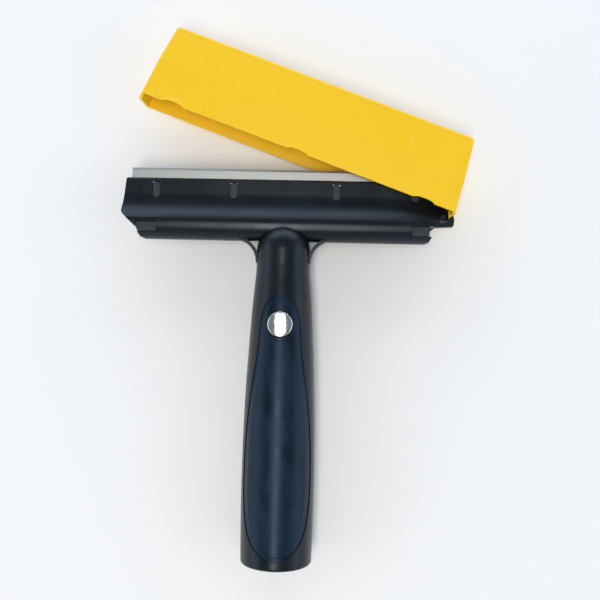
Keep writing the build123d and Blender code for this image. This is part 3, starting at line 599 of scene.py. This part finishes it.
def push_nut():
    low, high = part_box("pivot_push_nut")
    centre = (low + high) / 2
    outer = (high.x - low.x) / 2
    values = {"Centre": centre, "Band Radius": outer - NUT_BAND / 2, "Band": NUT_BAND,
              "Thickness": NUT_THICK, "Teeth": 6, "Tooth Length": TOOTH_LONG,
              "Tooth Width": TOOTH_WIDE, "Tooth Rise": radians(TOOTH_RISE),
              "Finish": finishes["zinc_steel"]}
    tree, given = start_tree("push_nut_ring", values)
    circle = add(tree, "GeometryNodeCurvePrimitiveCircle",
                 {"Resolution": 60, "Radius": given["Band Radius"]})
    section = add(tree, "GeometryNodeCurvePrimitiveQuadrilateral",
                  {"Width": given["Band"], "Height": given["Thickness"]})
    band = add(tree, "GeometryNodeCurveToMesh",
               {"Curve": circle.outputs["Curve"], "Profile Curve": section.outputs["Curve"]})
    reach = add(tree, "ShaderNodeMath", {0: given["Band"], 1: 0.5}, operation="MULTIPLY")
    rim = add(tree, "ShaderNodeMath", {0: given["Band Radius"], 1: reach.outputs["Value"]},
              operation="SUBTRACT")
    half = add(tree, "ShaderNodeMath", {0: given["Tooth Length"], 1: 0.35},
               operation="MULTIPLY")
    tooth_at = add(tree, "ShaderNodeMath", {0: rim.outputs["Value"], 1: half.outputs["Value"]},
                   operation="SUBTRACT")
    size = add(tree, "ShaderNodeCombineXYZ",
               {"X": given["Tooth Length"], "Y": given["Tooth Width"], "Z": given["Thickness"]})
    wedge = add(tree, "GeometryNodeMeshCube", {"Size": size.outputs["Vector"]})
    seats = add(tree, "GeometryNodeMeshCircle",
                {"Vertices": given["Teeth"], "Radius": tooth_at.outputs["Value"]})
    index = add(tree, "GeometryNodeInputIndex")
    share = add(tree, "ShaderNodeMath", {0: index.outputs["Index"], 1: given["Teeth"]},
                operation="DIVIDE")
    angle = add(tree, "ShaderNodeMath", {0: share.outputs["Value"], 1: 2 * pi},
                operation="MULTIPLY")
    euler = add(tree, "ShaderNodeCombineXYZ",
                {"Y": given["Tooth Rise"], "Z": angle.outputs["Value"]})
    facing = add(tree, "FunctionNodeEulerToRotation", {"Euler": euler.outputs["Vector"]})
    teeth = add(tree, "GeometryNodeInstanceOnPoints",
                {"Points": seats.outputs["Mesh"], "Instance": wedge.outputs["Mesh"],
                 "Rotation": facing.outputs["Rotation"]})
    both = add(tree, "GeometryNodeJoinGeometry")
    tree.links.new(band.outputs["Mesh"], both.inputs["Geometry"])
    tree.links.new(teeth.outputs["Instances"], both.inputs["Geometry"])
    moved = add(tree, "GeometryNodeTransform",
                {"Geometry": both.outputs["Geometry"], "Translation": given["Centre"]})
    end_tree(tree, moved.outputs["Geometry"], given["Finish"])
    piece("star_push_nut", grow(tree, values), finishes["zinc_steel"], "tool", "zinc_steel",
          "pivot_push_nut")


push_nut()

# %% [markdown]
# ## The return spring
#
# Under the button a coil of round wire pushes it back up. A tree makes it as a spiral curve
# swept with a circle. Its lower end stays on its seat while the button goes down, but here the
# whole coil rides on the button, with a mesh of its own.

# %% Return spring
WIRE_RADIUS = 0.3 * MM
SPRING_TURNS = 5.0


def return_spring():
    low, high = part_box("button_spring")
    rise = high.z - low.z
    values = {"Foot": Vector(((low.x + high.x) / 2, (low.y + high.y) / 2, low.z + WIRE_RADIUS)),
              "Turns": SPRING_TURNS, "Coil Radius": (high.x - low.x) / 2 - WIRE_RADIUS,
              "Rise": rise - 2 * WIRE_RADIUS, "Wire Radius": WIRE_RADIUS,
              "Finish": finishes["zinc_steel"]}
    tree, given = start_tree("return_spring_coil", values)
    coil = add(tree, "GeometryNodeCurveSpiral",
               {"Resolution": 40, "Rotations": given["Turns"],
                "Start Radius": given["Coil Radius"], "End Radius": given["Coil Radius"],
                "Height": given["Rise"], "Reverse": True})
    ring = add(tree, "GeometryNodeCurvePrimitiveCircle",
               {"Resolution": 14, "Radius": given["Wire Radius"]})
    wire = add(tree, "GeometryNodeCurveToMesh",
               {"Curve": coil.outputs["Curve"], "Profile Curve": ring.outputs["Curve"],
                "Fill Caps": True})
    moved = add(tree, "GeometryNodeTransform",
                {"Geometry": wire.outputs["Mesh"], "Translation": given["Foot"]})
    end_tree(tree, moved.outputs["Geometry"], given["Finish"])
    mesh = grow(tree, values)
    mesh.shade_smooth()
    mesh.set_sharp_from_angle(angle=radians(50))
    made = piece("return_spring", mesh, finishes["zinc_steel"], "button", "zinc_steel",
                 "button_spring")
    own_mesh(made)


return_spring()

# %% [markdown]
# ## The table
#
# The tool lies on its back on a plain white table, resting on the belly of the handle. The
# table is a large plane at the lowest point of the model.

# %% Table
def white_table():
    material, tree, shader, point = finish("white_laminate", Roughness=0.8)
    haze = add(tree, "ShaderNodeTexNoise", {"Vector": point, "Scale": 1 / 90.0, "Detail": 2.0})
    colour = add(tree, "ShaderNodeMix",
                 {"Factor": haze.outputs["Fac"], 6: linear("FAFAF9"), 7: linear("FDFDFC")},
                 data_type="RGBA")
    tree.links.new(colour.outputs[2], shader.inputs["Base Color"])
    return material


TABLE_HALF = 3.0
middle = (cad_low + cad_high) / 2
table_mesh = bpy.data.meshes.new("table")
table_mesh.from_pydata([(middle.x + i * TABLE_HALF, middle.y + j * TABLE_HALF, cad_low.z)
                        for i, j in ((-1, -1), (1, -1), (1, 1), (-1, 1))], [], [(0, 1, 2, 3)])
table_mesh.materials.append(white_table())
table = bpy.data.objects.new("table", table_mesh)
bpy.context.collection.objects.link(table)
print("table height in mm:", round(cad_low.z / MM, 2))

# %% [markdown]
# ## Light
#
# The tool is seen in soft daylight from all round, which the world gives: bright at the horizon
# and dimmer overhead. Four long lamps are added, and all of them face the handle. Round black
# plastic shows mostly what it reflects. The overhead lamp draws the highlight down the grip and
# the white band on the chrome button, and it ends short of where the flat plate would mirror
# it, so the plate stays dark. The low window ahead lights the curve between the plate and the
# bar, and the two at the sides draw the edges of the handle.

# %% World and lamps
world = bpy.data.worlds.new("daylight")
world.use_nodes = True
sky = world.node_tree
look = add(sky, "ShaderNodeTexCoord").outputs["Generated"]
height = add(sky, "ShaderNodeSeparateXYZ", {"Vector": look})
climb = add(sky, "ShaderNodeMapRange",
            {"Value": height.outputs["Z"], "From Min": 0.0, "From Max": 0.8, "To Min": 1.0,
             "To Max": 0.30}, interpolation_type="SMOOTHSTEP")
backdrop = sky.nodes["Background"]
backdrop.inputs["Color"].default_value = linear("E6EFFA")
sky.links.new(climb.outputs["Result"], backdrop.inputs["Strength"])
bpy.context.scene.world = world
bpy.context.scene.view_settings.view_transform = "Standard"
LAMP_REACH = 0.95


def soft_light(name, axis, lean, along, wide, long, glow, tint):
    """Long lamp over the handle, leaning about an axis by some degrees, with a given radiance."""
    lamp = bpy.data.lights.new(name, "AREA")
    lamp.shape = "RECTANGLE"
    lamp.size, lamp.size_y = wide, long
    lamp.energy = glow * pi * wide * long
    lamp.color = linear(tint)[:3]
    holder = bpy.data.objects.new(name, lamp)
    bpy.context.collection.objects.link(holder)
    turn = Matrix.Rotation(radians(lean), 4, axis)
    holder.matrix_world = turn @ Matrix.Translation((0.0, along, LAMP_REACH))
    print(name, "radiance", glow, "at", [round(v, 2) for v in holder.matrix_world.translation])


soft_light("overhead", "Y", -3, -0.10, 0.20, 0.62, 11.5, "FFF8EE")
soft_light("window_ahead", "X", -68, 0.10, 1.50, 0.40, 2.2, "DCE9FF")
soft_light("left_window", "Y", -66, 0.00, 0.50, 0.90, 1.1, "EAF2FF")
soft_light("right_window", "Y", 66, 0.00, 0.50, 0.90, 1.1, "EAF2FF")

# %% [markdown]
# ## Camera
#
# The view is nearly straight down from about 37 cm, with the lens of a phone. Its small turns
# about the three axes are what makes the handle lean a little and the guard look larger at the
# top.

# %% Camera
camera_data = bpy.data.cameras.new("camera")
camera_data.lens = 45.3
camera_data.sensor_width = 36.0
camera_data.clip_start = 0.01
camera = bpy.data.objects.new("camera", camera_data)
bpy.context.collection.objects.link(camera)
camera.location = (0.0208, 0.1157, 0.3695)
camera.rotation_euler = Euler((radians(1.81), radians(1.84), radians(1.44)), "XYZ")
bpy.context.scene.camera = camera
